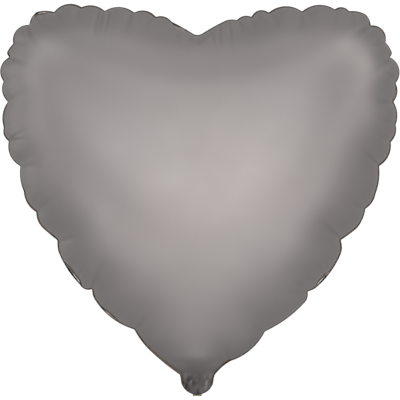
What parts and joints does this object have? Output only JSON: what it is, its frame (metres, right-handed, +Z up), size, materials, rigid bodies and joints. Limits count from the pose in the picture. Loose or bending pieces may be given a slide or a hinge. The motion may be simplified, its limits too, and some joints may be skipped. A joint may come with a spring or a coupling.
{
  "type": "heart-shaped foil balloon",
  "caption": "Filled heart-shaped foil balloon: two domed metallised film panels, a scalloped welded rim, a flat neck tab and a self-closing film valve.",
  "frame": {"origin": "middle of the throat, where the neck meets the heart's tip and a ribbon is tied", "axes": "+Z up from the neck to the lobes, -Y towards the front, +X to the right seen from the front"},
  "size_m": [0.3714, 0.1766, 0.3647],
  "materials": {
    "satin_foil": "satin metallised film, warm grey",
    "weld_band": "heat-welded metallised film, a little darker than the panels",
    "valve_film": "thin translucent film, olive yellow",
    "release_coat": "printed heat-resistant coat, matte"
  },
  "bodies": {
    "envelope": {"front_panel": "satin_foil", "back_panel": "satin_foil", "perimeter_seam": "weld_band", "valve_weld_front": "valve_film", "valve_weld_back": "valve_film", "valve_release_coat": "release_coat"},
    "neck_tail": {"neck_front_film": "satin_foil", "neck_back_film": "satin_foil", "neck_seam_left": "weld_band", "neck_seam_right": "weld_band", "valve_mouth_front": "valve_film", "valve_mouth_back": "valve_film", "valve_mouth_edge_welds": "valve_film"},
    "valve_flap": {"valve_flap_front": "valve_film", "valve_flap_back": "valve_film", "valve_flap_edge_welds": "valve_film"}
  },
  "joints": [
    {"name": "neck_flex", "type": "hinge", "parent": "envelope", "child": "neck_tail", "pos_m": [0, 0, 0], "axis": [1, 0, 0], "range_deg": [-75, 75], "stiffness_Nm_per_rad": 0.0001},
    {"name": "valve_flap_swing", "type": "hinge", "parent": "envelope", "child": "valve_flap", "pos_m": [0, 0, 0.0042], "axis": [1, 0, 0], "range_deg": [-30, 30], "stiffness_Nm_per_rad": 0.0002}
  ]
}
